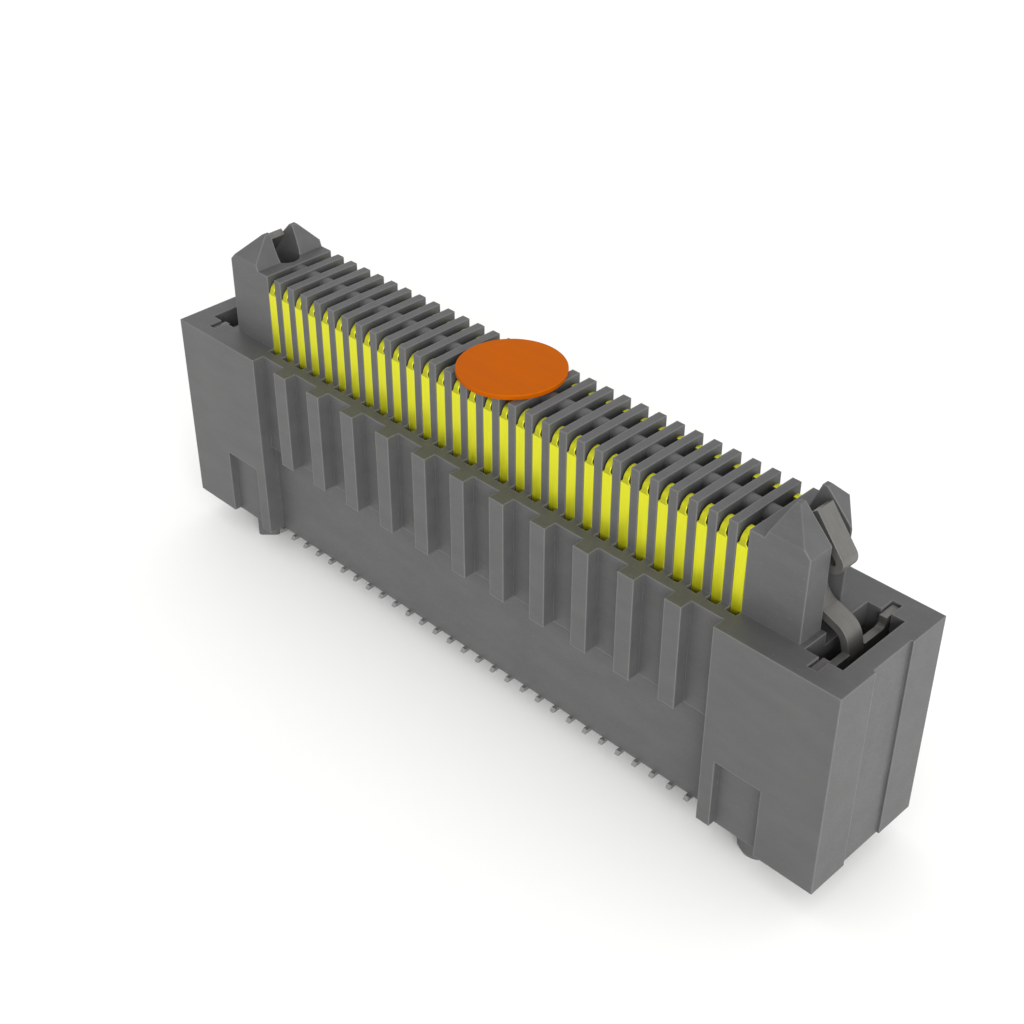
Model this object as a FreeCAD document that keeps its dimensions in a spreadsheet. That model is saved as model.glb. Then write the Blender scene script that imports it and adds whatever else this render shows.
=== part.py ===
import FreeCAD, Part
import math
import os
import types
import Sketcher

# A board to board connector: a moulded housing with a finned tongue, two rows of
# formed contacts, a spring latch at each end and a round film for picking it up.
# The long side lies along X, the housing stands on Z = 0 and the pins reach below it.
# Lengths are in millimetres and angles in degrees.

SIZES = {
    # Rows of contacts
    "pitch": 0.80,
    "contact_places": 30,
    # Body, whose length follows from the rows
    "tower_length": 2.275,
    "shoulder_length": 2.40,
    "block_length": 4.84,
    "body_width": 5.58,
    "body_height": 8.40,
    "ledge_height": 4.12,
    "ledge_reach": 0.19,
    "rib_reach": 0.51,
    "rib_width": 0.70,
    "rib_spacing": 2.0,
    "rib_places": 11,
    "end_channel_depth": 0.10,
    "end_channel_width": 2.02,
    "foot_pocket_inset": 0.55,
    "foot_pocket_width": 1.90,
    "foot_pocket_height": 2.97,
    "foot_pocket_depth": 0.29,
    # Tongue with its fins, its web and the core behind the contacts
    "tongue_rise": 3.20,
    "tongue_width": 3.21,
    "web_width": 0.70,
    "web_drop": 0.40,
    "web_ledge": 0.05,
    "web_ledge_drop": 0.50,
    "core_drop": 1.10,
    "contact_gap": 0.01,
    "relief_reach": 0.27,
    "relief_depth": 1.00,
    # Towers, their horns and the slot for the latch arm
    "horn_rise": 1.12,
    "horn_foot": 1.71,
    "horn_flat_inside": 1.28,
    "horn_flat_outside": 1.10,
    "horn_side_rise": 0.26,
    "horn_side_run": 0.815,
    "arm_gap": 0.15,
    "arm_slot_centre": 1.46,
    "arm_slot_drop": 0.52,
    "key_overrun": 0.045,
    # Wells for the latches
    "well_gap": 0.23,
    "well_length": 1.41,
    "well_width": 3.31,
    "well_depth": 3.80,
    "bar_slot_inset": 0.53,
    "bar_slot_wall": 0.533,
    "bar_gap": 0.045,
    "bar_end_gap": 0.042,
    # Pins under the two ends
    "pin_inset": 3.15,
    "pin_length": 1.23,
    "round_pin_diameter": 1.48,
    "round_pin_wall": 0.69,
    "round_pin_tip_length": 0.25,
    "round_pin_tip_diameter": 1.24,
    "square_pin_side": 0.916,
    "square_pin_corner": 0.16,
    "square_pin_wall": 0.542,
    # Contacts
    "blade_width": 0.43,
    "contact_thickness": 0.15,
    "tip_width": 0.25,
    "tip_radius": 0.45,
    "tip_drop": 0.23,
    "tip_overhang": 0.555,
    "tip_length": 0.40,
    "tip_taper": 0.09,
    "inner_flat_rise": 0.145,
    "tail_width": 0.20,
    "foot_flat": 0.12,
    "tail_projection": 0.234,
    "tail_bevel": 0.098,
    "neck_height": 0.50,
    "neck_length": 0.10,
    # Film for picking the connector up
    "film_diameter": 4.0,
    "film_thickness": 0.20,
    # Latches
    "latch_thickness": 0.28,
    "bar_drop": 0.49,
    "lug_drop": 0.10,
    "lug_width": 0.74,
    "lug_fillet": 0.18,
    "bar_barb": 0.03,
    "bar_barb_height": 0.80,
    "bar_barb_length": 0.60,
    "arm_width": 0.78,
    "foot_drop": 0.72,
    "foot_bend": 0.25,
    "arm_tilt": 15.6,
    "knee_drop": 0.20,
    "knee_bend": 0.66,
    "arm_slope": 21.9,
    "elbow_bend": 0.84,
    "post_inset": 0.70,
    "hook_rise": 2.095,
    "hook_corner_bend": 0.24,
    "hook_reach": 0.39,
    "nose_bend": 0.26,
    "hook_slope": 51.4,
    "latch_rise": 3.98,
}

# How far a cut runs on past the face that it starts from
CLEAR_OF = 1.0

# How near two places are where they count as one, when edges are looked for
SAME_PLACE = 0.001


class Size:
    """A named size, or a sum made of them, as a number and as text for an expression."""

    def __init__(self, number, text):
        self.number = number
        self.text = text

    def joined(self, other, sign, number):
        return Size(number, "(%s %s %s)" % (self.text, sign, other.text))

    def __add__(self, other):
        other = as_size(other)
        return self.joined(other, "+", self.number + other.number)

    def __sub__(self, other):
        other = as_size(other)
        return self.joined(other, "-", self.number - other.number)

    def __mul__(self, other):
        other = as_size(other)
        return self.joined(other, "*", self.number * other.number)

    def __truediv__(self, other):
        other = as_size(other)
        return self.joined(other, "/", self.number / other.number)

    def __neg__(self):
        return self * -1


def as_size(thing):
    if isinstance(thing, Size):
        return thing
    return Size(thing, "(%s)" % thing)


# Sheet


def make_sheet(doc):
    """Writes the sizes into a sheet and gives them back by name."""
    sheet = doc.addObject("Spreadsheet::Sheet", "sizes")
    for row, (name, number) in enumerate(SIZES.items(), 1):
        sheet.set("A%d" % row, name)
        sheet.set("B%d" % row, str(number))
        sheet.setAlias("B%d" % row, name)
    doc.recompute()
    named = {name: Size(number, "sizes." + name) for name, number in SIZES.items()}
    return types.SimpleNamespace(**named)


def add_shared_places(part):
    """Works out the sizes and places that more than one feature is set by."""
    part.slot_width = part.blade_width + part.contact_gap * 2
    part.row_end = part.pitch * (part.contact_places - 1) / 2
    part.slot_end = part.row_end + part.slot_width / 2
    part.tower_end = part.slot_end + part.tower_length
    part.body_end = part.tower_end + part.shoulder_length
    part.block_start = part.body_end - part.block_length
    part.body_face = part.body_width / 2
    part.upper_face = part.body_face - part.rib_reach
    part.lower_face = part.upper_face - part.ledge_reach
    part.tongue_top = part.body_height + part.tongue_rise
    part.tongue_face = part.tongue_width / 2
    part.blade_back = part.tongue_face - part.contact_thickness
    part.arm_slot_radius = part.arm_width / 2 + part.arm_gap
    part.well_start = part.tower_end + part.well_gap
    part.well_floor = part.body_height - part.well_depth
    part.bar_slot_start = part.well_start + part.bar_slot_inset
    part.bar_slot_length = part.latch_thickness + part.bar_gap * 2
    part.bar_slot_face = part.body_face - part.bar_slot_wall
    part.bar_middle = part.bar_slot_start + part.bar_slot_length / 2


# Sketches


def origin_feature(body, role):
    for feature in body.Origin.OriginFeatures:
        if feature.Role == role:
            return feature
    raise RuntimeError("no " + role)


def new_sketch(body, name, plane, offset=None):
    sketch = body.newObject("Sketcher::SketchObject", name)
    sketch.AttachmentSupport = [(origin_feature(body, plane), "")]
    sketch.MapMode = "FlatFace"
    if offset is not None:
        sketch.setExpression(".AttachmentOffset.Base.z", offset.text)
    return sketch


def dimension(sketch, kind, where, size):
    """Adds a dimension that the sheet drives."""
    size = as_size(size)
    index = sketch.addConstraint(Sketcher.Constraint(kind, *where, size.number))
    sketch.setExpression("Constraints[%d]" % index, size.text)


def place(sketch, geometry, point, x, y):
    """Holds a point of a drawn line or arc at x and y. A plain 0 puts it on the axis."""
    for kind, value, axis in (("DistanceX", x, -2), ("DistanceY", y, -1)):
        if isinstance(value, Size):
            dimension(sketch, kind, (-1, 1, geometry, point), value)
        else:
            sketch.addConstraint(Sketcher.Constraint("PointOnObject", geometry, point, axis))


def spot(x, y):
    return FreeCAD.Vector(as_size(x).number, as_size(y).number, 0)


def draw_outline(sketch, corners):
    """Draws a closed run of straight lines through the corners and gives its first index."""
    spots = [spot(x, y) for x, y in corners]
    first = sketch.GeometryCount
    for here, there in zip(spots, spots[1:] + spots[:1]):
        sketch.addGeometry(Part.LineSegment(here, there), False)
    for step in range(len(corners)):
        before = first + (step - 1) % len(corners)
        sketch.addConstraint(Sketcher.Constraint("Coincident", before, 2, first + step, 1))
    return first


def outline(sketch, corners):
    """Draws a closed outline with each corner held by the sheet."""
    first = draw_outline(sketch, corners)
    for step, (x, y) in enumerate(corners):
        place(sketch, first + step, 1, x, y)


def rectangle(sketch, left, right, low, high):
    """Draws an upright rectangle held by two opposite corners."""
    first = draw_outline(sketch, [(left, low), (right, low), (right, high), (left, high)])
    for step, kind in enumerate(("Horizontal", "Vertical", "Horizontal", "Vertical")):
        sketch.addConstraint(Sketcher.Constraint(kind, first + step))
    place(sketch, first, 1, left, low)
    place(sketch, first + 2, 1, right, high)


def circle(sketch, x, y, radius):
    shape = Part.Circle(spot(x, y), FreeCAD.Vector(0, 0, 1), as_size(radius).number)
    index = sketch.addGeometry(shape, False)
    place(sketch, index, 3, x, y)
    dimension(sketch, "Radius", (index,), radius)


def arc(sketch, x, y, radius, start, end):
    """Draws an arc about x and y from the start angle round to the end angle."""
    whole = Part.Circle(spot(x, y), FreeCAD.Vector(0, 0, 1), radius)
    shape = Part.ArcOfCircle(whole, math.radians(start), math.radians(end))
    return sketch.addGeometry(shape, False)


def line(sketch, here, there):
    return sketch.addGeometry(Part.LineSegment(here, there), False)


def draw_bent_run(sketch, corners, radii):
    """Draws straight lines joined by tangent bends and gives the lines and the bends."""
    ends = [corners[0]]
    bends = []
    for before, corner, after, radius in zip(corners, corners[1:], corners[2:], radii):
        way_in = (corner - before).normalize()
        way_out = (after - corner).normalize()
        turn = way_in.cross(way_out).z
        angle = way_in.getAngle(way_out)
        reach = radius * math.tan(angle / 2)
        side = FreeCAD.Vector(-way_in.y, way_in.x, 0) * math.copysign(radius, turn)
        centre = corner - way_in * reach + side
        ends += [corner - way_in * reach, corner + way_out * reach]
        bends.append((centre, radius, turn > 0))
    ends.append(corners[-1])
    lines = [line(sketch, ends[2 * step], ends[2 * step + 1]) for step in range(len(bends) + 1)]
    arcs = []
    for step, (centre, radius, to_the_left) in enumerate(bends):
        first, last = ends[2 * step + 1] - centre, ends[2 * step + 2] - centre
        if not to_the_left:
            first, last = last, first
        start = math.degrees(math.atan2(first.y, first.x))
        end = math.degrees(math.atan2(last.y, last.x))
        index = arc(sketch, centre.x, centre.y, radius, start, end)
        near, far = (1, 2) if to_the_left else (2, 1)
        sketch.addConstraint(Sketcher.Constraint("Tangent", lines[step], 2, index, near))
        sketch.addConstraint(Sketcher.Constraint("Tangent", index, far, lines[step + 1], 1))
        arcs.append(index)
    return lines, arcs


# Features


def extrude(body, kind, name, sketch, length=None, side="One side", flipped=False):
    """Pads or pockets a sketch. Without a length it cuts through all."""
    feature = body.newObject("PartDesign::" + kind, name)
    feature.Profile = sketch
    feature.SideType = side
    feature.Reversed = flipped
    if length is None:
        feature.Type = "ThroughAll"
    else:
        feature.setExpression("Length", length.text)
    sketch.Visibility = False
    return feature


def repeat(body, name, features, step, places):
    """Repeats features along X at a fixed step."""
    pattern = body.newObject("PartDesign::LinearPattern", name)
    pattern.Originals = features
    pattern.Direction = (origin_feature(body, "X_Axis"), [""])
    pattern.Mode = "Extent"
    pattern.setExpression("Length", (step * (places - 1)).text)
    pattern.setExpression("Occurrences", places.text)
    body.Tip = pattern
    return pattern


def mirror_feature(body, name, features, plane):
    """Mirrors features of a body in one of its own planes."""
    mirrored = body.newObject("PartDesign::Mirrored", name)
    mirrored.Originals = features
    mirrored.MirrorPlane = (origin_feature(body, plane), [""])
    body.Tip = mirrored
    return mirrored


def round_edges(body, name, radius, wanted):
    """Fillets the edges of the body's present shape that pass the test."""
    body.Document.recompute()
    base = body.Tip
    names = ["Edge%d" % number for number, edge in enumerate(base.Shape.Edges, 1) if wanted(edge)]
    if not names:
        raise RuntimeError("no edge to round for " + name)
    fillet = body.newObject("PartDesign::Fillet", name)
    fillet.Base = (base, names)
    fillet.setExpression("Radius", radius.text)
    return fillet


def new_body(doc, label):
    body = doc.addObject("PartDesign::Body", label)
    body.Label = label
    body.Placement = FreeCAD.Placement()
    return body


# Housing


def add_walls(body, part):
    """The stepped wall between the ends, the end blocks and the ribs."""
    lower, upper = part.lower_face, part.upper_face
    sketch = new_sketch(body, "wall_section", "YZ_Plane")
    outline(sketch, [
        (-lower, 0), (lower, 0), (lower, part.ledge_height), (upper, part.ledge_height),
        (upper, part.body_height), (-upper, part.body_height), (-upper, part.ledge_height),
        (-lower, part.ledge_height)])
    extrude(body, "Pad", "wall", sketch, part.block_start * 2, "Symmetric")

    face = part.body_face
    sketch = new_sketch(body, "block_plan", "XY_Plane")
    rectangle(sketch, part.block_start, part.body_end, -face, face)
    block = extrude(body, "Pad", "block", sketch, part.body_height)
    mirror_feature(body, "blocks", [block], "YZ_Plane")

    first = -(part.rib_spacing * (part.rib_places - 1) / 2)
    sketch = new_sketch(body, "rib_plan", "XY_Plane", part.ledge_height)
    rectangle(sketch, first - part.rib_width / 2, first + part.rib_width / 2, -face, face)
    rib = extrude(body, "Pad", "rib", sketch, part.body_height - part.ledge_height)
    repeat(body, "ribs", [rib], part.rib_spacing, part.rib_places)


def add_end_recesses(body, part):
    """The shallow channel down the right end face and the pockets at the feet of the blocks."""
    sketch = new_sketch(body, "end_channel_plan", "XY_Plane", part.body_height)
    half = part.end_channel_width / 2
    rectangle(sketch, part.body_end - part.end_channel_depth, part.body_end + CLEAR_OF, -half, half)
    extrude(body, "Pocket", "end_channel", sketch)

    sketch = new_sketch(body, "foot_pocket_plan", "XY_Plane")
    start = part.block_start + part.foot_pocket_inset
    face = part.body_face
    for side in (1, -1):
        for row in (1, -1):
            rectangle(sketch, start * side, (start + part.foot_pocket_width) * side,
                      (face - part.foot_pocket_depth) * row, (face + CLEAR_OF) * row)
    extrude(body, "Pocket", "foot_pockets", sketch, part.foot_pocket_height, flipped=True)


def add_tongue(body, part):
    """The tongue and both towers as one silhouette, with the horns cut to their slopes."""
    horn_top = part.tongue_top + part.horn_rise
    right = [
        (part.tower_end, part.body_height),
        (part.tower_end, part.tongue_top),
        (part.tower_end - part.horn_flat_outside, horn_top),
        (part.tower_end - part.horn_flat_inside, horn_top),
        (part.tower_end - part.horn_foot, part.tongue_top)]
    left = [(-x, z) for x, z in reversed(right)]
    sketch = new_sketch(body, "tongue_silhouette", "XZ_Plane")
    outline(sketch, right + left)
    extrude(body, "Pad", "tongue", sketch, part.tongue_width, "Symmetric")

    shoulder = part.tongue_top + part.horn_side_rise
    sketch = new_sketch(body, "horn_slope_section", "YZ_Plane")
    for row in (1, -1):
        outline(sketch, [
            (part.tongue_face * row, shoulder),
            ((part.tongue_face + CLEAR_OF) * row, shoulder),
            ((part.tongue_face + CLEAR_OF) * row, horn_top + CLEAR_OF),
            ((part.tongue_face - part.horn_side_run) * row, horn_top + CLEAR_OF),
            ((part.tongue_face - part.horn_side_run) * row, horn_top)])
    extrude(body, "Pocket", "horn_slopes", sketch, None, "Symmetric")
    add_key_corner(body, part, horn_top)
    return horn_top


def add_key_corner(body, part, horn_top):
    """The cut at 45 degrees that takes the rear corner off the right tower, as far as its slot.

    It lets the other half of the pair go on one way round only."""
    reach = part.tongue_face - part.arm_slot_radius + part.key_overrun + CLEAR_OF * 2
    right, rear = part.tower_end + CLEAR_OF, part.tongue_face + CLEAR_OF
    sketch = new_sketch(body, "key_corner_plan", "XY_Plane", horn_top)
    outline(sketch, [(right, rear), (right - reach, rear), (right, rear - reach)])
    extrude(body, "Pocket", "key_corner", sketch, horn_top - part.body_height)


def add_fins(body, part):
    """The slots between the fins, with the channels that the contacts are pushed up."""
    side = "Symmetric"
    sketch = new_sketch(body, "fin_slot_section", "YZ_Plane", -part.row_end)
    reach = part.tongue_face + CLEAR_OF
    rectangle(sketch, -reach, reach, part.body_height, part.tongue_top + CLEAR_OF)
    fin_slot = extrude(body, "Pocket", "fin_slot", sketch, part.slot_width, side)

    back = part.blade_back - part.contact_gap
    front = part.tongue_face + part.contact_gap
    sketch = new_sketch(body, "channel_section", "YZ_Plane", -part.row_end)
    for row in (1, -1):
        outline(sketch, [
            (back * row, 0),
            (back * row, part.body_height),
            ((part.tongue_face + part.relief_reach) * row, part.body_height),
            ((part.tongue_face + part.relief_reach) * row, part.body_height - part.relief_depth),
            (front * row, part.body_height - part.relief_depth),
            (front * row, 0)])
    channel = extrude(body, "Pocket", "channel", sketch, part.slot_width, side)
    repeat(body, "fin_slots", [fin_slot, channel], part.pitch, part.contact_places)

    web = part.web_width / 2
    shelf = web + part.web_ledge
    core_top = part.tongue_top - part.core_drop
    shelf_top = part.tongue_top - part.web_ledge_drop
    web_top = part.tongue_top - part.web_drop
    right = [(back, part.body_height), (back, core_top), (shelf, core_top), (shelf, shelf_top),
             (web, shelf_top), (web, web_top)]
    left = [(-y, z) for y, z in reversed(right)]
    sketch = new_sketch(body, "core_section", "YZ_Plane")
    outline(sketch, right + left)
    extrude(body, "Pad", "core", sketch, part.slot_end * 2, side)

    sketch = new_sketch(body, "web_round_section", "YZ_Plane")
    circle(sketch, 0, web_top, web)
    extrude(body, "Pad", "web_round", sketch, part.slot_end * 2, side)


def add_latch_spaces(body, part, horn_top):
    """The slot through each tower and the well behind it, with the slots for the latch bar."""
    centre = part.tower_end - part.arm_slot_centre
    depth = horn_top - part.body_height + part.arm_slot_drop
    straight = new_sketch(body, "arm_slot_plan", "XY_Plane", horn_top)
    ends = new_sketch(body, "arm_slot_end_plan", "XY_Plane", horn_top)
    wells = new_sketch(body, "well_plan", "XY_Plane", part.body_height)
    slots = new_sketch(body, "bar_slot_plan", "XY_Plane", part.body_height)
    well, slot = part.well_width / 2, part.bar_slot_face
    for side in (1, -1):
        rectangle(straight, centre * side, (part.well_start + part.bar_slot_inset) * side,
                  -part.arm_slot_radius, part.arm_slot_radius)
        circle(ends, centre * side, 0, part.arm_slot_radius)
        rectangle(wells, part.well_start * side, (part.well_start + part.well_length) * side,
                  -well, well)
        rectangle(slots, part.bar_slot_start * side,
                  (part.bar_slot_start + part.bar_slot_length) * side, -slot, slot)
    extrude(body, "Pocket", "wells", wells, part.well_depth)
    extrude(body, "Pocket", "bar_slots", slots, part.well_depth)
    extrude(body, "Pocket", "arm_slots", straight, depth)
    extrude(body, "Pocket", "arm_slot_ends", ends, depth)


def add_pins(body, part):
    """A round pin under the right end and a square one, set on its corner, under the left."""
    x = part.body_end - part.pin_inset
    near = part.body_face - part.round_pin_wall - part.round_pin_diameter / 2
    sketch = new_sketch(body, "round_pin_half", "XZ_Plane", near)
    straight = part.pin_length - part.round_pin_tip_length
    outline(sketch, [
        (x, 0), (x + part.round_pin_diameter / 2, 0),
        (x + part.round_pin_diameter / 2, -straight),
        (x + part.round_pin_tip_diameter / 2, -part.pin_length), (x, -part.pin_length)])
    pin = body.newObject("PartDesign::Revolution", "round_pin")
    pin.Profile = sketch
    pin.ReferenceAxis = (sketch, ["Edge5"])
    pin.Angle = 360
    sketch.Visibility = False

    half = part.square_pin_side / math.sqrt(2)
    middle = half + part.square_pin_wall - part.body_face
    sketch = new_sketch(body, "square_pin_plan", "XY_Plane")
    outline(sketch, [(-x - half, middle), (-x, middle - half), (-x + half, middle),
                     (-x, middle + half)])
    extrude(body, "Pad", "square_pin", sketch, part.pin_length, flipped=True)

    def is_pin_corner(edge):
        low, high = edge.BoundBox.ZMin, edge.BoundBox.ZMax
        upright = len(edge.Vertexes) == 2 and edge.BoundBox.ZLength > part.pin_length.number / 2
        return upright and edge.CenterOfMass.x < 0 and high < SAME_PLACE and low < -SAME_PLACE

    round_edges(body, "square_pin_corners", part.square_pin_corner, is_pin_corner)


def make_housing(doc, part):
    body = new_body(doc, "housing")
    add_walls(body, part)
    add_end_recesses(body, part)
    horn_top = add_tongue(body, part)
    add_latch_spaces(body, part, horn_top)
    add_pins(body, part)
    add_fins(body, part)
    return body


# Contacts


def draw_contact_side(sketch, part):
    """The bent strip of the front contact seen from the end, from its tail up to its tip.

    The show side is round at the tip. The side towards the core has two flats there, which
    run off a circle drawn only for construction, and the foot has a flat for its bend."""
    face, back = -part.tongue_face, -part.blade_back
    thick, flat = part.contact_thickness, part.foot_flat
    tip_y = face + part.tip_radius
    tip_z = part.tongue_top - part.tip_drop - part.tip_radius
    tip_end_y = face + part.tip_overhang
    tail_low = -(part.lower_face + part.tail_projection)
    tail_high = tail_low + part.tail_bevel
    inner_radius = part.tip_radius - thick
    centre = spot(tip_y, tip_z)
    tip_angle = math.acos((tip_end_y - tip_y).number / part.tip_radius.number)
    outwards = FreeCAD.Vector(math.cos(tip_angle), math.sin(tip_angle), 0)
    tip_outer = centre + outwards * part.tip_radius.number
    tip_inner = centre + outwards * inner_radius.number
    low_corner = spot(back, tip_z + part.inner_flat_rise)
    along = FreeCAD.Vector(-outwards.y, outwards.x, 0)
    high_corner = tip_inner + along * part.inner_flat_rise.number

    end = line(sketch, spot(tail_low, -thick), spot(tail_high, 0))
    top = line(sketch, spot(tail_high, 0), spot(face, 0))
    front = line(sketch, spot(face, 0), spot(face, tip_z))
    tip = arc(sketch, tip_y, tip_z, part.tip_radius.number, math.degrees(tip_angle), 180)
    tip_end = line(sketch, tip_outer, tip_inner)
    high_flat = line(sketch, tip_inner, high_corner)
    low_flat = line(sketch, high_corner, low_corner)
    rear = line(sketch, low_corner, spot(back, flat - thick))
    foot = line(sketch, spot(back, flat - thick), spot(back - flat, -thick))
    bottom = line(sketch, spot(back - flat, -thick), spot(tail_low, -thick))
    guide = sketch.addGeometry(
        Part.Circle(centre, FreeCAD.Vector(0, 0, 1), inner_radius.number), True)

    joints = (("Coincident", end, 2, top, 1), ("Coincident", top, 2, front, 1),
              ("Tangent", front, 2, tip, 2), ("Coincident", tip, 1, tip_end, 1),
              ("Coincident", tip_end, 2, high_flat, 1), ("Coincident", high_flat, 2, low_flat, 1),
              ("Coincident", low_flat, 2, rear, 1), ("Coincident", rear, 2, foot, 1),
              ("Coincident", foot, 2, bottom, 1), ("Coincident", bottom, 2, end, 1),
              ("Coincident", tip, 3, guide, 3), ("Horizontal", top), ("Vertical", front),
              ("Vertical", rear), ("Horizontal", bottom), ("PointOnObject", top, 1, -1),
              ("PointOnObject", tip, 3, tip_end), ("Perpendicular", tip_end, high_flat),
              ("Tangent", high_flat, guide), ("Tangent", low_flat, guide))
    for joint in joints:
        sketch.addConstraint(Sketcher.Constraint(*joint))
    for kind, geometry, point, size in (
            ("DistanceX", end, 1, tail_low), ("DistanceX", end, 2, tail_high),
            ("DistanceX", front, 1, face), ("DistanceX", rear, 1, back),
            ("DistanceY", bottom, 1, -thick), ("DistanceX", foot, 2, back - flat),
            ("DistanceY", foot, 1, flat - thick), ("DistanceY", tip, 3, tip_z),
            ("DistanceX", tip_end, 1, tip_end_y),
            ("DistanceY", rear, 1, tip_z + part.inner_flat_rise)):
        dimension(sketch, kind, (-1, 1, geometry, point), size)
    dimension(sketch, "Radius", (tip,), part.tip_radius)
    dimension(sketch, "Radius", (guide,), inner_radius)


def make_contact(doc, part):
    """One contact: the bent strip, trimmed to the widths of its tail, blade and tip."""
    body = new_body(doc, "front_contact")
    sketch = new_sketch(body, "contact_side", "YZ_Plane")
    draw_contact_side(sketch, part)
    extrude(body, "Pad", "strip", sketch, part.blade_width, "Symmetric")

    tail, blade = part.tail_width / 2, part.blade_width / 2
    neck = part.neck_height + part.neck_length
    crest = part.tongue_top - part.tip_drop
    taper = crest - part.tip_length
    aside = blade + CLEAR_OF
    sketch = new_sketch(body, "contact_front", "XZ_Plane")
    for side in (1, -1):
        outline(sketch, [
            (tail * side, -part.pin_length), (tail * side, part.neck_height), (blade * side, neck),
            (aside * side, neck), (aside * side, -part.pin_length)])
        outline(sketch, [
            (blade * side, taper - part.tip_taper), (part.tip_width / 2 * side, taper),
            (part.tip_width / 2 * side, crest + CLEAR_OF), (aside * side, crest + CLEAR_OF),
            (aside * side, taper - part.tip_taper)])
    extrude(body, "Pocket", "trim", sketch, None, "Symmetric")
    return body


def make_contact_pairs(doc, part, front):
    """A front and a rear contact for each place of the rows."""
    rear = doc.addObject("Part::Mirroring", "rear_contact")
    rear.Source = front
    rear.Normal = FreeCAD.Vector(0, 1, 0)
    pairs = []
    for place_number in range(part.contact_places.number):
        pair = doc.addObject("Part::Compound", "contact_pair_%02d" % (place_number + 1))
        pair.Links = [front, rear]
        pair.setExpression("Placement.Base.x", (part.pitch * place_number - part.row_end).text)
        pairs.append(pair)
    return pairs


# Latches


def add_latch_bar(body, part):
    """The upright bar that stands in the side slots, with lugs, barbs and a notch for the arm."""
    edge = part.bar_slot_face - part.bar_end_gap
    barb = edge + part.bar_barb
    lug, arm = edge - part.lug_width, part.arm_width / 2
    low = part.well_floor
    barb_low = low + part.bar_barb_height
    barb_high = barb_low + part.bar_barb_length
    bar_top = part.body_height - part.bar_drop
    lug_top = part.body_height - part.lug_drop
    right = [(edge, low), (edge, barb_low), (barb, barb_high), (edge, barb_high), (edge, lug_top),
             (lug, lug_top), (lug, bar_top), (arm, bar_top), (arm, part.body_height - part.foot_drop)]
    left = [(-y, z) for y, z in reversed(right)]
    sketch = new_sketch(body, "bar_front", "YZ_Plane", part.bar_middle)
    outline(sketch, right + left)
    extrude(body, "Pad", "bar", sketch, part.latch_thickness, "Symmetric")

    def is_lug_foot(edge):
        at = edge.CenterOfMass
        return abs(at.z - bar_top.number) < SAME_PLACE and abs(abs(at.y) - lug.number) < SAME_PLACE

    round_edges(body, "lug_fillets", part.lug_fillet, is_lug_foot)


def draw_arm_run(sketch, part):
    """The middle line of the arm: up from the bar, inwards over the sill, up and out to the hook."""
    thick = part.latch_thickness
    bar_x, start_z = part.bar_middle, part.well_floor + part.bar_barb_height
    foot_z, knee_z = part.body_height - part.foot_drop, part.body_height - part.knee_drop
    post_x = part.tower_end - part.post_inset
    hook_z = part.body_height + part.hook_rise + thick / 2
    nose_x = part.tower_end + part.hook_reach - thick / 2 - part.nose_bend
    end_z = part.body_height + part.latch_rise
    tilt = math.radians(part.arm_tilt.number)
    slope = math.radians(part.arm_slope.number)
    lean = math.radians(part.hook_slope.number)

    # Corners where the straight stretches would meet, for the first drawing
    knee_turn = math.pi / 2 - tilt - slope
    knee_reach = part.knee_bend.number * math.tan(knee_turn / 2)
    foot = spot(bar_x, foot_z)
    rise = knee_z.number + knee_reach * math.cos(tilt) - foot_z.number
    knee = foot + FreeCAD.Vector(-rise * math.tan(tilt), rise, 0)
    run = knee.x - post_x.number
    elbow = FreeCAD.Vector(post_x.number, knee.y + run * math.tan(slope), 0)
    nose_reach = part.nose_bend.number * math.tan((math.pi - lean) / 2)
    nose = FreeCAD.Vector(nose_x.number + nose_reach, hook_z.number, 0)
    climb = end_z.number - nose.y
    end = nose + FreeCAD.Vector(-climb / math.tan(lean), climb, 0)
    corners = [spot(bar_x, start_z), foot, knee, elbow, spot(post_x, hook_z), nose, end]
    bend_sizes = (part.foot_bend, part.knee_bend, part.elbow_bend, part.hook_corner_bend,
                  part.nose_bend)
    lines, bends = draw_bent_run(sketch, corners, [size.number for size in bend_sizes])

    for index, size in zip(bends, bend_sizes):
        dimension(sketch, "Radius", (index,), size)
    for geometry, kind in ((lines[0], "Vertical"), (lines[3], "Vertical"), (lines[4], "Horizontal")):
        sketch.addConstraint(Sketcher.Constraint(kind, geometry))
    for geometry, angle in ((lines[1], part.arm_tilt + 90), (lines[2], -part.arm_slope + 180),
                            (lines[5], -part.hook_slope + 180)):
        index = sketch.addConstraint(
            Sketcher.Constraint("Angle", geometry, math.radians(angle.number)))
        sketch.setExpression("Constraints[%d]" % index, angle.text)
    place(sketch, lines[0], 1, bar_x, start_z)
    for kind, geometry, point, size in (
            ("DistanceY", lines[0], 2, foot_z), ("DistanceY", lines[1], 2, knee_z),
            ("DistanceX", lines[3], 1, post_x), ("DistanceY", lines[4], 1, hook_z),
            ("DistanceX", bends[4], 3, nose_x), ("DistanceY", lines[5], 2, end_z)):
        dimension(sketch, kind, (-1, 1, geometry, point), size)
    return start_z


def make_latch(doc, part):
    """A latch: an upright bar, and a strip swept from it along the bends up to the hook."""
    body = new_body(doc, "latch_right")
    add_latch_bar(body, part)
    run = new_sketch(body, "arm_run", "XZ_Plane")
    start_z = draw_arm_run(run, part)
    section = new_sketch(body, "arm_section", "XY_Plane", start_z)
    half = part.latch_thickness / 2
    rectangle(section, part.bar_middle - half, part.bar_middle + half,
              -(part.arm_width / 2), part.arm_width / 2)
    arm = body.newObject("PartDesign::AdditivePipe", "arm")
    arm.Profile = section
    arm.Spine = (run, ["Edge%d" % (step + 1) for step in range(run.GeometryCount)])
    arm.Mode = "Standard"
    run.Visibility = False
    section.Visibility = False
    return body


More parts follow.
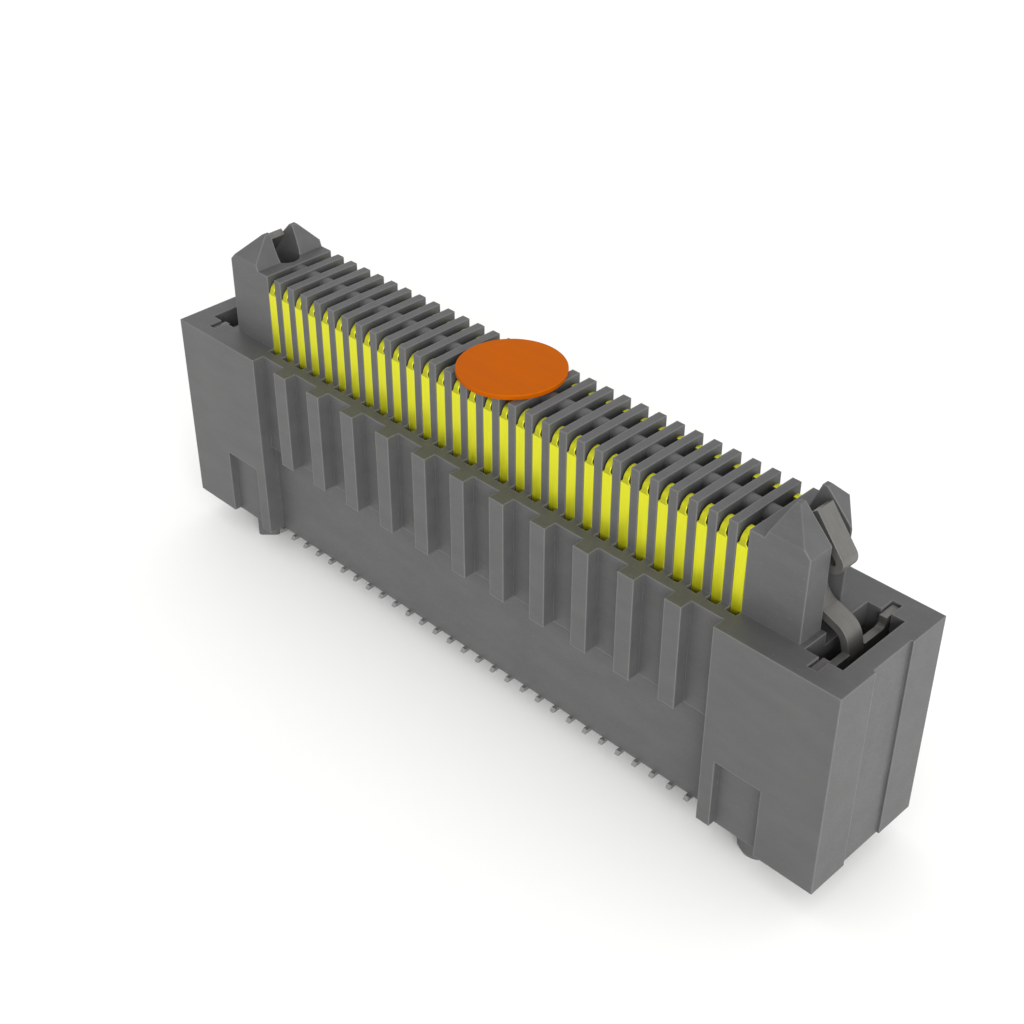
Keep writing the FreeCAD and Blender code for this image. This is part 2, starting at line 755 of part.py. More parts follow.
def make_mirrored_latch(doc, latch):
    other = doc.addObject("Part::Mirroring", "latch_left")
    other.Source = latch
    other.Normal = FreeCAD.Vector(1, 0, 0)
    return other


# Film for picking up


def make_film(doc, part):
    film = doc.addObject("Part::Cylinder", "pickup_pad")
    film.setExpression("Radius", (part.film_diameter / 2).text)
    film.setExpression("Height", part.film_thickness.text)
    film.setExpression("Placement.Base.z", part.tongue_top.text)
    return film


# Checks and files


def check(doc, pieces):
    """Stops the build where a feature has failed or cuts nothing, or a piece isn't sound."""
    for item in doc.Objects:
        if "Invalid" in item.State or "Error" in item.State:
            raise RuntimeError("%s failed: %s" % (item.Label, item.State))
        if item.isDerivedFrom("Sketcher::SketchObject") and item.solve() != 0:
            raise RuntimeError(item.Label + " isn't solved")
        if item.isDerivedFrom("Part::Feature") and item.Shape.isNull():
            raise RuntimeError(item.Label + " is empty")
        if item.TypeId == "PartDesign::Pocket":
            if item.Shape.Volume >= item.BaseFeature.Shape.Volume:
                raise RuntimeError(item.Label + " cuts nothing")
    for piece in pieces:
        if not piece.Shape.isValid():
            raise RuntimeError(piece.Label + " isn't a sound solid")


def main():
    doc = FreeCAD.newDocument("connector")
    part = make_sheet(doc)
    add_shared_places(part)
    housing = make_housing(doc, part)
    front = make_contact(doc, part)
    pairs = make_contact_pairs(doc, part, front)
    latch = make_latch(doc, part)
    other_latch = make_mirrored_latch(doc, latch)
    film = make_film(doc, part)
    doc.recompute()
    pieces = [housing, latch, other_latch, film] + pairs
    check(doc, pieces)
    os.makedirs("parts", exist_ok=True)
    for piece in pieces:
        piece.Shape.exportStep("parts/%s.step" % piece.Label)
        print(piece.Label, len(piece.Shape.Solids), "solids", round(piece.Shape.Volume, 3), "mm3")


main()
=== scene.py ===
import math

import bmesh
import bpy
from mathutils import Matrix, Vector


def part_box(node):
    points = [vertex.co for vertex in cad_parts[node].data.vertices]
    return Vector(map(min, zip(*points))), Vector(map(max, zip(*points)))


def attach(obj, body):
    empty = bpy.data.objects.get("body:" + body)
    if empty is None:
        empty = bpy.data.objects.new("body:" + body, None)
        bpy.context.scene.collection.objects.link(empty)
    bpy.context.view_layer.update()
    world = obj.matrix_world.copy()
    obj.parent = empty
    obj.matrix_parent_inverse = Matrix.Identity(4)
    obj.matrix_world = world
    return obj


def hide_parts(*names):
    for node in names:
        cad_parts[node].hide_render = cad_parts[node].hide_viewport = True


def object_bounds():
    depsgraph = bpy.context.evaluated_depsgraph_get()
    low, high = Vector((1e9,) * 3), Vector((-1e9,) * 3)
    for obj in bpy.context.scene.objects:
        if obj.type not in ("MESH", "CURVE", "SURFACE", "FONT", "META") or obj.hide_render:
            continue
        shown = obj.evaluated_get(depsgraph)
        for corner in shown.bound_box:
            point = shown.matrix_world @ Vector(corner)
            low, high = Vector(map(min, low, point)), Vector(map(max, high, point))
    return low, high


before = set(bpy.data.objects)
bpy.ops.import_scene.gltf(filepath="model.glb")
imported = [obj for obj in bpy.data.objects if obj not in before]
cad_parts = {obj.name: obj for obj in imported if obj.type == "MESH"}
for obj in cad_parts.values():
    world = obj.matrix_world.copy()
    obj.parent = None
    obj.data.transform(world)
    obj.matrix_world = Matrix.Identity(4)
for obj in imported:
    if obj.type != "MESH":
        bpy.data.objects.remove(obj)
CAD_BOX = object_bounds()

# Looks for a board to board connector. The housing and the latches keep their packed
# shapes and get their finishes here. The contacts are bent up again as fine strips with
# round bends and coined edges, and the pick-up film gets its rounded rim.
# Lengths are in metres: MM turns a length in millimetres into one.

bl_info = {
    "name": "Board Connector Looks",
    "version": (1, 0, 0),
    "blender": (4, 5, 0),
    "location": "View3D > Sidebar > Connector",
    "description": "Builds the looks of a board to board connector around its packed frame",
    "category": "Object",
}

MM = 0.001
BODY = "root"
PAIR_NODES = sorted(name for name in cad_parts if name.startswith("contact_pair"))
PAIR_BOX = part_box(PAIR_NODES[0])
CONTACT_PLACES = len(PAIR_NODES)
FIRST_PLACE = (PAIR_BOX[0].x + PAIR_BOX[1].x) / 2
ROW_LENGTH = -2 * FIRST_PLACE

# The contact, from the board face up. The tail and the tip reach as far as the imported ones.
TAIL_REACH = -PAIR_BOX[0].y
TAIL_BEVEL = 0.098 * MM
FOOT_BEND = 0.02 * MM
TIN_LINE = (0.45 * MM, 0.55 * MM)
NECK_LOW, NECK_HIGH = 0.50 * MM, 0.60 * MM
BLADE_FACE = 1.605 * MM
TIP_CREST = PAIR_BOX[1].z
TIP_RADIUS = 0.45 * MM
TIP_OVERHANG = 0.555 * MM
TAPER_START = TIP_CREST - 0.49 * MM
TAPER_END = TIP_CREST - 0.40 * MM
TIP_ROOT = TAPER_START - 0.02 * MM
# Painted shade on the tip is deepest up to this height and fades out towards the crest.
TIP_PAINTED_SHADE_TOP = TAPER_END + 0.08 * MM


# Settings a user would change


def length_setting(name, description, millimetres):
    return bpy.props.FloatProperty(
        name=name, description=description, default=millimetres * MM, min=0.0,
        precision=6, unit="LENGTH")


def colour_setting(name, description, hex_text):
    return bpy.props.FloatVectorProperty(
        name=name, description=description, default=linear(hex_text), size=3,
        min=0.0, max=1.0, subtype="COLOR")


def linear(hex_text):
    """An sRGB colour such as C8C8C8 as linear red, green and blue."""
    parts = [int(hex_text[start:start + 2], 16) / 255 for start in (0, 2, 4)]
    return [c / 12.92 if c <= 0.04045 else ((c + 0.055) / 1.055) ** 2.4 for c in parts]


class ContactSettings(bpy.types.PropertyGroup):
    pitch: bpy.props.FloatProperty(
        name="Pitch", description="Distance from one contact to the next along a row",
        default=ROW_LENGTH / (CONTACT_PLACES - 1), min=0.0, precision=6, unit="LENGTH")
    places: bpy.props.IntProperty(
        name="Places", description="Contacts in each row", default=CONTACT_PLACES, min=2)
    blade_width: length_setting("Blade width", "Width of the contact's flat blade", 0.43)
    tip_width: length_setting("Tip width", "Width of the narrow tip", 0.25)
    tail_width: length_setting("Tail width", "Width of the soldered tail", 0.20)
    thickness: length_setting("Thickness", "Thickness of the contact strip", 0.15)
    coined_edge: length_setting("Coined edge", "How far the strip's corners are rounded off", 0.018)


class FilmSettings(bpy.types.PropertyGroup):
    rim: length_setting("Rim", "Radius of the film's soft rim", 0.035)
    adhesive: length_setting("Adhesive", "Thickness of the adhesive under the film", 0.035)
    adhesive_inset: length_setting(
        "Adhesive inset", "How far the adhesive stops short of the rim", 0.04)


class FinishSettings(bpy.types.PropertyGroup):
    plastic: colour_setting("Plastic", "Moulded housing", "4A4A4A")
    gold: colour_setting("Gold", "Plating on the blades and tips", "DCDC28")
    tin: colour_setting("Tin", "Plating on the tails", "8E8E8C")
    spring: colour_setting("Spring strip", "Rolled strip of the latches", "706F6C")
    film: colour_setting("Film", "Polyimide film for picking up", "B25500")


class StageSettings(bpy.types.PropertyGroup):
    floor: colour_setting("Floor", "Plain pale floor", "F8F8F6")
    sky: bpy.props.FloatProperty(
        name="Sky", description="Strength of the even light from all round", default=1.0, min=0.0)
    key_light: bpy.props.FloatProperty(
        name="Key light", description="Power of the low soft light from the near right",
        default=2.3, min=0.0, unit="POWER")


# Material helpers


def open_socket(sockets, name):
    """The socket of this name that the node's settings leave open."""
    return next(socket for socket in sockets if socket.name == name and socket.enabled)


def add_node(tree, kind, inputs=(), **settings):
    """Adds a node with its settings. Each input is a value or the socket that feeds it."""
    node = tree.nodes.new(kind)
    for name, value in settings.items():
        setattr(node, name, value)
    for key, value in dict(inputs).items():
        socket = node.inputs[key] if isinstance(key, int) else open_socket(node.inputs, key)
        if isinstance(value, bpy.types.NodeSocket):
            tree.links.new(value, socket)
        else:
            socket.default_value = value
    return node


def new_material(name):
    """An empty node material, its tree and the tree's object coordinates."""
    material = bpy.data.materials.new(name)
    material.use_nodes = True
    tree = material.node_tree
    tree.nodes.clear()
    return material, tree, add_node(tree, "ShaderNodeTexCoord").outputs["Object"]


def opaque(colour):
    """A colour's red, green and blue with full alpha, as a socket takes them."""
    return tuple(colour) + (1.0,)


def shade(colour, factor):
    return opaque(min(1.0, c * factor) for c in colour[:3])


def patches(tree, place, size, detail=2.0, roughness=0.5):
    """A random pattern whose patches are about this long, deep and high."""
    cells = add_node(tree, "ShaderNodeMapping",
                     {"Vector": place, "Scale": [1.0 / side for side in size]})
    return add_node(tree, "ShaderNodeTexNoise", {
        "Vector": cells.outputs["Vector"], "Scale": 1.0, "Detail": detail,
        "Roughness": roughness}).outputs["Fac"]


def blended(tree, factor, span, first, second, share=1.0):
    """From the first colour, at the span's start, to this share of the second, at its end."""
    graded = add_node(tree, "ShaderNodeMapRange", {
        "Value": factor, "From Min": span[0], "From Max": span[1], "To Max": share})
    mix = add_node(tree, "ShaderNodeMix", {
        "Factor": graded.outputs["Result"], "A": first, "B": second}, data_type="RGBA")
    return open_socket(mix.outputs, "Result")


def pressed(tree, pattern, depth, strength, edge_radius):
    """A normal pressed in by a pattern, with the sharp edges rounded over the radius."""
    edges = add_node(tree, "ShaderNodeBevel", {"Radius": edge_radius}, samples=EDGE_SAMPLES)
    return add_node(tree, "ShaderNodeBump", {
        "Height": pattern, "Distance": depth, "Strength": strength,
        "Normal": edges.outputs["Normal"]}).outputs["Normal"]


def finish_surface(tree, inputs):
    shader = add_node(tree, "ShaderNodeBsdfPrincipled", inputs)
    add_node(tree, "ShaderNodeOutputMaterial", {"Surface": shader.outputs["BSDF"]})


# Materials

# The radius of a moulded and of a stamped edge, and how wide the painted highlight along the
# housing's outer edges is.
MOULD_EDGE, STAMPED_EDGE, PAINTED_HIGHLIGHT_REACH = 0.035 * MM, 0.020 * MM, 0.060 * MM
EDGE_SAMPLES = 6

# Each pattern's patch is this long, deep and high. The real glass fibres (0.01 mm), spark
# pits (0.02 mm) and rolling lines (0.005 mm) are too fine to show, so theirs are coarser.
FLOW_MARK = Vector((2.0, 0.7, 0.7)) * MM
GLASS_FIBRE = Vector((0.18, 0.045, 0.045)) * MM
SPARK_PIT = Vector((0.062, 0.062, 0.062)) * MM
BLADE_LINE = Vector((0.038, 0.038, 1.0)) * MM
TIN_CLOUD = Vector((0.11, 0.11, 0.11)) * MM
ARM_LINE = Vector((0.7, 0.033, 0.7)) * MM
STEEL_CLOUD = Vector((0.4, 0.4, 0.4)) * MM
FILM_STREAK = Vector((3.2, 0.4, 0.4)) * MM
FILM_WAVE = Vector((1.1, 1.1, 1.1)) * MM
FLOOR_MOTTLE = Vector((17.0, 17.0, 17.0)) * MM

# How deep the patterns are pressed into the surface.
PIT_DEPTH, LINE_DEPTH, WAVE_DEPTH = 0.004 * MM, 0.002 * MM, 0.012 * MM

# Spans of a pattern's values: all of them, the ones that most patches have, and the peaks.
WHOLE, MIDDLE, PEAKS = (0.0, 1.0), (0.3, 0.7), (0.66, 0.78)
MIDDLE_INPUTS = {"From Min": MIDDLE[0], "From Max": MIDDLE[1]}

# How open a look inwards is, from well inside a face to its outer edge, where the painted highlight
# is strongest.
INSIDE_TO_EDGE = (0.95, 0.60)

# Painted shade on the film's side: below this span of heights the side is painted darker, and above
# it the side is like the top.
FILM_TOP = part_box("pickup_pad")[1].z
FILM_SIDE_PAINTED_SHADE = (FILM_TOP - 0.04 * MM, FILM_TOP - 0.01 * MM)


def moulded_polymer(colour):
    """Glass-filled liquid crystal polymer, injection moulded.

    The eye sees an even satin grey with faint flow marks, some two millimetres long,
    along the part, short pale glass fibres, the fine spark-eroded texture of the mould,
    and a painted highlight that makes the outer edges paler."""
    material, tree, place = new_material("moulded_glass_filled_polymer")
    flow = patches(tree, place, FLOW_MARK, detail=3.0)
    fibres = patches(tree, place, GLASS_FIBRE, detail=1.0)
    pits = patches(tree, place, SPARK_PIT, detail=3.0, roughness=0.6)
    tone = blended(tree, flow, (0.35, 0.65), shade(colour, 0.93), shade(colour, 1.06))
    tone = blended(tree, fibres, PEAKS, tone, shade(colour, 1.7), share=0.5)
    # Painted highlight: near an outer edge a look inwards soon meets another face, and there the
    # colour is painted paler.
    inwards = add_node(tree, "ShaderNodeAmbientOcclusion", {"Distance": PAINTED_HIGHLIGHT_REACH},
                       inside=True, only_local=True, samples=EDGE_SAMPLES).outputs["AO"]
    tone = blended(tree, inwards, INSIDE_TO_EDGE, tone, shade(colour, 2.0), share=0.8)
    rough = add_node(tree, "ShaderNodeMapRange", {
        "Value": pits, **MIDDLE_INPUTS, "To Min": 0.46, "To Max": 0.60})
    finish_surface(tree, {
        "Base Color": tone, "Roughness": rough.outputs["Result"], "IOR": 1.55,
        "Normal": pressed(tree, pits, PIT_DEPTH, strength=0.35, edge_radius=MOULD_EDGE)})
    return material


def plated_strip(gold, tin):
    """Phosphor bronze strip, gold plated on the blade and tip and tinned on the tail.

    The eye sees bright yellow metal with fine rolling lines along the blade, each
    contact a shade off its neighbour, painted shade on the tip, deepest at its root and
    fading out to plain gold at its crest, and a duller pale grey tail below the body."""
    material, tree, place = new_material("gold_plated_bronze_with_tinned_tail")
    height = add_node(tree, "ShaderNodeSeparateXYZ", {"Vector": place}).outputs["Z"]
    lines = patches(tree, place, BLADE_LINE)
    clouds = patches(tree, place, TIN_CLOUD)
    own = add_node(tree, "ShaderNodeAttribute", attribute_name="contact_tone").outputs["Fac"]
    plate = blended(tree, own, WHOLE, shade(gold, 0.95), gold)
    plate = blended(tree, lines, (0.35, 0.70), shade(gold, 0.90), plate)
    # Painted shade: the tip is painted darker at its root, fading to plain gold at the crest.
    tip = blended(tree, height, (TIP_PAINTED_SHADE_TOP, TIP_CREST), shade(gold, 0.55), gold)
    plate = blended(tree, height, (TIP_ROOT, TAPER_START), plate, tip)
    matt_tin = blended(tree, clouds, WHOLE, shade(tin, 0.86), tin)
    tone = blended(tree, height, TIN_LINE, matt_tin, plate)
    wiped = add_node(tree, "ShaderNodeMapRange", {
        "Value": lines, **MIDDLE_INPUTS, "To Min": 0.38, "To Max": 0.48})
    plated = add_node(tree, "ShaderNodeMapRange", {
        "Value": height, "From Min": TIN_LINE[0], "From Max": TIN_LINE[1]})
    rough = add_node(tree, "ShaderNodeMix", {
        "Factor": plated.outputs["Result"], "A": 0.52, "B": wiped.outputs["Result"]})
    bump = add_node(tree, "ShaderNodeBump", {
        "Height": lines, "Distance": LINE_DEPTH, "Strength": 0.25})
    finish_surface(tree, {
        "Base Color": tone, "Roughness": rough.outputs["Result"], "Metallic": 0.75,
        "Normal": bump.outputs["Normal"]})
    return material


def rolled_spring_strip(colour):
    """Stainless spring strip, cold rolled and stamped.

    The eye sees a warm grey metal, with fine rolling lines up the arm, soft clouding
    and stamped edges that catch the light."""
    material, tree, place = new_material("cold_rolled_stainless_spring_strip")
    lines = patches(tree, place, ARM_LINE)
    clouds = patches(tree, place, STEEL_CLOUD, detail=3.0)
    tone = blended(tree, lines, MIDDLE, shade(colour, 0.86), shade(colour, 1.05))
    tone = blended(tree, clouds, (0.4, 0.7), tone, shade(colour, 1.18), share=0.4)
    rough = add_node(tree, "ShaderNodeMapRange", {
        "Value": lines, **MIDDLE_INPUTS, "To Min": 0.40, "To Max": 0.52})
    finish_surface(tree, {
        "Base Color": tone, "Roughness": rough.outputs["Result"], "Metallic": 0.7,
        "Normal": pressed(tree, lines, LINE_DEPTH, strength=0.25, edge_radius=STAMPED_EDGE)})
    return material


def polyimide_film(colour):
    """Polyimide film, cast and die cut.

    The eye sees a deep orange with a soft shine, faint casting streaks, a slightly
    waved surface and painted shade that darkens its side."""
    material, tree, place = new_material("cast_polyimide_film")
    height = add_node(tree, "ShaderNodeSeparateXYZ", {"Vector": place}).outputs["Z"]
    streaks = patches(tree, place, FILM_STREAK, detail=3.0)
    waves = patches(tree, place, FILM_WAVE)
    tone = blended(tree, streaks, MIDDLE, shade(colour, 0.94), shade(colour, 1.03))
    # Painted shade: the film's side is painted darker than its top.
    tone = blended(tree, height, FILM_SIDE_PAINTED_SHADE, shade(colour, 0.76), tone)
    rough = add_node(tree, "ShaderNodeMapRange", {
        "Value": streaks, **MIDDLE_INPUTS, "To Min": 0.46, "To Max": 0.58})
    bump = add_node(tree, "ShaderNodeBump", {
        "Height": waves, "Distance": WAVE_DEPTH, "Strength": 0.2})
    finish_surface(tree, {
        "Base Color": tone, "Roughness": rough.outputs["Result"], "IOR": 1.65,
        "Specular IOR Level": 0.02, "Normal": bump.outputs["Normal"]})
    return material


def pale_floor(colour):
    """Matt painted board for the floor: an even off-white with the faintest mottle."""
    material, tree, place = new_material("matt_pale_board")
    mottle = patches(tree, place, FLOOR_MOTTLE, detail=3.0)
    tone = blended(tree, mottle, WHOLE, shade(colour, 0.985), colour)
    finish_surface(tree, {"Base Color": tone, "Roughness": 0.9})
    return material


# Mesh helpers


def new_piece(name, mesh_data, material):
    """Makes a finished mesh a piece of the connector."""
    piece = bpy.data.objects.new(name, mesh_data)
    bpy.context.scene.collection.objects.link(piece)
    mesh_data.materials.clear()
    mesh_data.materials.append(material)
    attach(piece, BODY)
    return piece


def repaint_node(name, material):
    """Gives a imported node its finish."""
    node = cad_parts[name]
    if not node.material_slots:
        node.data.materials.append(material)
    for slot in node.material_slots:
        slot.material = material


def skin_sections(sections):
    """A closed skin through rings of points that all have the same count."""
    mesh = bmesh.new()
    rings = [[mesh.verts.new(point) for point in ring] for ring in sections]
    count = len(rings[0])
    for here, there in zip(rings, rings[1:]):
        for step in range(count):
            after = (step + 1) % count
            mesh.faces.new((here[step], here[after], there[after], there[step]))
    mesh.faces.new(list(reversed(rings[0])))
    mesh.faces.new(rings[-1])
    bmesh.ops.recalc_face_normals(mesh, faces=mesh.faces)
    return mesh


def to_mesh(mesh, name):
    data = bpy.data.meshes.new(name)
    mesh.to_mesh(data)
    mesh.free()
    return data


def round_points(centre, show_radius, back_radius, start, end, steps):
    """Pairs of points on the show side and the back of a bend, as y and z."""
    pairs = []
    for step in range(steps + 1):
        angle = math.radians(start + (end - start) * step / steps)
        way = Vector((math.cos(angle), math.sin(angle)))
        pairs.append((centre + way * show_radius, centre + way * back_radius))
    return pairs


# Contacts

FOOT_STEPS, TIP_STEPS = 8, 18
TONE_SEED = 7


def contact_stations(thick):
    """Points on the show side and the back of a front contact, from its tail to its tip."""
    face = -BLADE_FACE
    back = face + thick
    stations = [(Vector((-TAIL_REACH + TAIL_BEVEL, 0.0)), Vector((-TAIL_REACH, -thick)))]
    foot = Vector((face - FOOT_BEND, FOOT_BEND))
    stations += round_points(foot, FOOT_BEND, FOOT_BEND + thick, -90, 0, FOOT_STEPS)
    tip = Vector((face + TIP_RADIUS, TIP_CREST - TIP_RADIUS))
    for z in (NECK_LOW, NECK_HIGH, TAPER_START):
        stations.append((Vector((face, z)), Vector((back, z))))
    end = math.degrees(math.acos((TIP_OVERHANG - TIP_RADIUS) / TIP_RADIUS))
    stations += round_points(tip, TIP_RADIUS, TIP_RADIUS - thick, 180, end, TIP_STEPS)
    return stations


def contact_half_width(z, settings):
    """Half the strip's width at a height on its show side."""
    tail, blade, tip = settings.tail_width / 2, settings.blade_width / 2, settings.tip_width / 2
    if z <= NECK_LOW:
        return tail
    if z < NECK_HIGH:
        return tail + (blade - tail) * (z - NECK_LOW) / (NECK_HIGH - NECK_LOW)
    if z <= TAPER_START:
        return blade
    return max(tip, blade + (tip - blade) * (z - TAPER_START) / (TAPER_END - TAPER_START))


def contact_mesh(settings):
    """One front contact: an eight-sided section carried along the bent strip."""
    thick, coin = settings.thickness, settings.coined_edge
    sections = []
    for show, back in contact_stations(thick):
        half = contact_half_width(show.y, settings)
        across = (back - show).normalized()
        ring = []
        for side in (1, -1):
            flat = half - coin
            run = [(flat, show), (half, show + across * coin),
                   (half, back - across * coin), (flat, back)]
            if side < 0:
                run.reverse()
            ring += [(side * x, point.x, point.y) for x, point in run]
        sections.append(ring)
    return to_mesh(skin_sections(sections), "formed_contact")


def group_input(tree, name, kind, value):
    tree.interface.new_socket(name=name, in_out="INPUT", socket_type=kind).default_value = value


def contact_rows_tree(settings, material):
    """Nodes that set a contact at each place of both rows, the rear row turned round."""
    tree = bpy.data.node_groups.new("contact_rows", "GeometryNodeTree")
    tree.interface.new_socket(name="Contact", in_out="INPUT", socket_type="NodeSocketGeometry")
    group_input(tree, "Places", "NodeSocketInt", settings.places)
    group_input(tree, "Pitch", "NodeSocketFloat", settings.pitch)
    tree.interface.new_socket(name="Rows", in_out="OUTPUT", socket_type="NodeSocketGeometry")
    given = add_node(tree, "NodeGroupInput").outputs
    gaps = add_node(tree, "ShaderNodeMath", {0: given["Places"], 1: 1.0}, operation="SUBTRACT")
    span = add_node(tree, "ShaderNodeMath", {0: gaps.outputs[0], 1: given["Pitch"]},
                    operation="MULTIPLY")
    half = add_node(tree, "ShaderNodeMath", {0: span.outputs[0], 1: -0.5}, operation="MULTIPLY")
    start = add_node(tree, "ShaderNodeCombineXYZ", {"X": half.outputs[0]})
    step = add_node(tree, "ShaderNodeCombineXYZ", {"X": given["Pitch"]})
    places = add_node(tree, "GeometryNodeMeshLine", {
        "Count": given["Places"], "Start Location": start.outputs[0],
        "Offset": step.outputs[0]}, mode="OFFSET")
    front = add_node(tree, "GeometryNodeInstanceOnPoints", {
        "Points": places.outputs["Mesh"], "Instance": given["Contact"]})
    rear = add_node(tree, "GeometryNodeInstanceOnPoints", {
        "Points": places.outputs["Mesh"], "Instance": given["Contact"],
        "Rotation": (0.0, 0.0, math.pi)})
    both = add_node(tree, "GeometryNodeJoinGeometry", {0: front.outputs[0]})
    tree.links.new(rear.outputs[0], both.inputs[0])
    tone = add_node(tree, "FunctionNodeRandomValue", {"Seed": TONE_SEED}, data_type="FLOAT")
    marked = add_node(tree, "GeometryNodeStoreNamedAttribute", {
        "Geometry": both.outputs[0], "Name": "contact_tone",
        "Value": open_socket(tone.outputs, "Value")}, data_type="FLOAT", domain="INSTANCE")
    real = add_node(tree, "GeometryNodeRealizeInstances", {"Geometry": marked.outputs[0]})
    painted = add_node(tree, "GeometryNodeSetMaterial", {
        "Geometry": real.outputs[0], "Material": material})
    add_node(tree, "NodeGroupOutput", {"Rows": painted.outputs[0]})
    return tree


def grown_mesh(source, tree, values, name):
    """Runs a Geometry Nodes tree on a mesh and gives the result as a plain mesh."""
    carrier = bpy.data.objects.new(name + "_source", source)
    bpy.context.scene.collection.objects.link(carrier)
    modifier = carrier.modifiers.new(name, "NODES")
    modifier.node_group = tree
    for item in tree.interface.items_tree:
        if item.in_out == "INPUT" and item.name in values:
            modifier[item.identifier] = values[item.name]
    graph = bpy.context.evaluated_depsgraph_get()
    grown = bpy.data.meshes.new_from_object(carrier.evaluated_get(graph), depsgraph=graph)
    grown.name = name
    carrier.modifiers.clear()
    bpy.data.objects.remove(carrier)
    return grown


class CONNECTOR_OT_contact_rows(bpy.types.Operator):
    """Bend up the contacts and set them in both rows"""

    bl_idname = "connector.contact_rows"
    bl_label = "Contact rows"

    def execute(self, context):
        scene = context.scene
        settings, finish = scene.connector_contacts, scene.connector_finish
        material = plated_strip(opaque(finish.gold), opaque(finish.tin))
        tree = contact_rows_tree(settings, material)
        values = {"Places": settings.places, "Pitch": settings.pitch}
        grown = grown_mesh(contact_mesh(settings), tree, values, "contact_rows")
        if len(grown.polygons) == 0:
            raise RuntimeError("the contact rows came out empty")
        rows = new_piece("contact_rows", grown, material)
        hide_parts(*PAIR_NODES)
        return {"FINISHED"}


# Housing, latches and film


class CONNECTOR_OT_housing_finish(bpy.types.Operator):
    """Give the moulded housing its finish"""

    bl_idname = "connector.housing_finish"
    bl_label = "Housing finish"

    def execute(self, context):
        repaint_node("housing", moulded_polymer(opaque(context.scene.connector_finish.plastic)))
        return {"FINISHED"}


class CONNECTOR_OT_latch_finish(bpy.types.Operator):
    """Give both latches the finish of rolled spring strip"""

    bl_idname = "connector.latch_finish"
    bl_label = "Latch finish"

    def execute(self, context):
        material = rolled_spring_strip(opaque(context.scene.connector_finish.spring))
        for name in ("latch_left", "latch_right"):
            repaint_node(name, material)
        return {"FINISHED"}


FILM_SIDES = 128
RIM_STEPS = 5


def film_profile(low, high, radius, settings):
    """Radius and height up the film's edge: the adhesive, its step, then the soft rim."""
    rim, glue = settings.rim, low + settings.adhesive
    profile = [(radius - settings.adhesive_inset, low), (radius - settings.adhesive_inset, glue),
               (radius - rim / 2, glue), (radius, glue + rim / 2)]
    for step in range(RIM_STEPS + 1):
        angle = math.pi / 2 * step / RIM_STEPS
        profile.append((radius - rim + rim * math.cos(angle), high - rim + rim * math.sin(angle)))
    return profile


class CONNECTOR_OT_pickup_film(bpy.types.Operator):
    """Lay the round pick-up film on the tongue"""

    bl_idname = "connector.pickup_film"
    bl_label = "Pick-up film"

    def execute(self, context):
        scene = context.scene
        low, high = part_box("pickup_pad")
        profile = film_profile(low.z, high.z, (high.x - low.x) / 2, scene.connector_film)
        turns = [2 * math.pi * step / FILM_SIDES for step in range(FILM_SIDES)]
        sections = [[(reach * math.cos(turn), reach * math.sin(turn), z) for turn in turns]
                    for reach, z in profile]
        data = to_mesh(skin_sections(sections), "pickup_film")
        material = polyimide_film(opaque(scene.connector_finish.film))
        film = new_piece("pickup_film", data, material)
        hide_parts("pickup_pad")
        return {"FINISHED"}


# Stage

# The camera's place, way and angle of view were worked out from the picture.
CAMERA_AT = Vector((34.959, -34.951, 40.495)) * MM
CAMERA_WAY = Vector((-1, 1, -1))
CAMERA_VIEW = 35.0
CAMERA_CLIP = (0.001, 10.0)
KEY_LIGHT_AT = Vector((0.403, -0.257, 0.150))
KEY_LIGHT_SIZE = 0.30
KEY_LIGHT_AIM = Vector((0, 0, 0.005))
FLOOR_HALF = 0.3


def place_looking(name, data, at, way):
    """A light or camera at a place, looking along a way."""
    item = bpy.data.objects.new(name, data)
    item.location = at
    item.rotation_mode = "QUATERNION"
    item.rotation_quaternion = way.to_track_quat("-Z", "Y")
    bpy.context.scene.collection.objects.link(item)
    return item


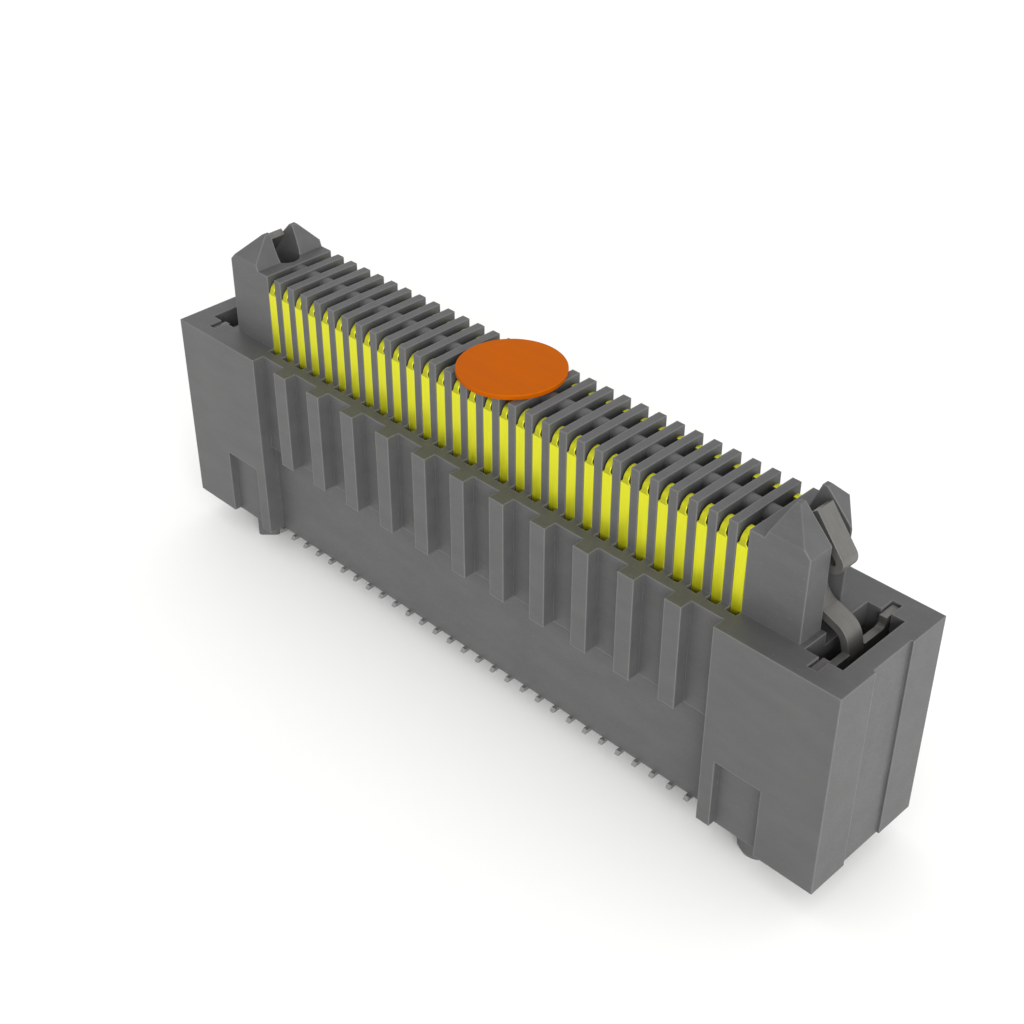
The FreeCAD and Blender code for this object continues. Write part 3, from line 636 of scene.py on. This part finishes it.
class CONNECTOR_OT_stage(bpy.types.Operator):
    """Set up the floor, the soft lights and the camera"""

    bl_idname = "connector.stage"
    bl_label = "Stage"

    def execute(self, context):
        scene = context.scene
        settings = scene.connector_stage
        floor_z = CAD_BOX[0].z
        mesh = bmesh.new()
        corners = [(-FLOOR_HALF, -FLOOR_HALF), (FLOOR_HALF, -FLOOR_HALF),
                   (FLOOR_HALF, FLOOR_HALF), (-FLOOR_HALF, FLOOR_HALF)]
        mesh.faces.new([mesh.verts.new((x, y, floor_z)) for x, y in corners])
        floor = bpy.data.objects.new("floor", to_mesh(mesh, "floor"))
        floor.data.materials.append(pale_floor(opaque(settings.floor)))
        scene.collection.objects.link(floor)

        lamp = bpy.data.lights.new("key_light", "AREA")
        lamp.energy = settings.key_light
        lamp.size = KEY_LIGHT_SIZE
        place_looking("key_light", lamp, KEY_LIGHT_AT, KEY_LIGHT_AIM - KEY_LIGHT_AT)
        world = bpy.data.worlds.new("even_sky")
        world.use_nodes = True
        sky = world.node_tree.nodes["Background"]
        sky.inputs["Color"].default_value = (1.0, 1.0, 1.0, 1.0)
        sky.inputs["Strength"].default_value = settings.sky
        scene.world = world
        scene.view_settings.view_transform = "Standard"

        lens = bpy.data.cameras.new("camera")
        lens.sensor_fit = "AUTO"
        lens.angle = math.radians(CAMERA_VIEW)
        lens.clip_start, lens.clip_end = CAMERA_CLIP
        scene.camera = place_looking("camera", lens, CAMERA_AT, CAMERA_WAY)
        return {"FINISHED"}


# Panel and registration

OPERATORS = (CONNECTOR_OT_housing_finish, CONNECTOR_OT_contact_rows, CONNECTOR_OT_latch_finish,
             CONNECTOR_OT_pickup_film, CONNECTOR_OT_stage)
GROUPS = {"connector_contacts": ContactSettings, "connector_film": FilmSettings,
          "connector_finish": FinishSettings, "connector_stage": StageSettings}


class CONNECTOR_PT_looks(bpy.types.Panel):
    """Sizes and colours of the connector, and the steps that build its looks"""

    bl_idname = "CONNECTOR_PT_looks"
    bl_label = "Connector"
    bl_space_type = "VIEW_3D"
    bl_region_type = "UI"
    bl_category = "Connector"

    def draw(self, context):
        for name, group in GROUPS.items():
            box = self.layout.box()
            for field in group.__annotations__:
                box.prop(getattr(context.scene, name), field)
        for operator in OPERATORS:
            self.layout.operator(operator.bl_idname)


def register():
    for group in GROUPS.values():
        bpy.utils.register_class(group)
    for name, group in GROUPS.items():
        setattr(bpy.types.Scene, name, bpy.props.PointerProperty(type=group))
    for entry in OPERATORS + (CONNECTOR_PT_looks,):
        bpy.utils.register_class(entry)


def unregister():
    for entry in reversed(OPERATORS + (CONNECTOR_PT_looks,)):
        bpy.utils.unregister_class(entry)
    for name, group in GROUPS.items():
        delattr(bpy.types.Scene, name)
        bpy.utils.unregister_class(group)


def main():
    register()
    bpy.ops.connector.housing_finish()
    bpy.ops.connector.contact_rows()
    bpy.ops.connector.latch_finish()
    bpy.ops.connector.pickup_film()
    bpy.ops.connector.stage()


if __name__ == "__main__":
    main()
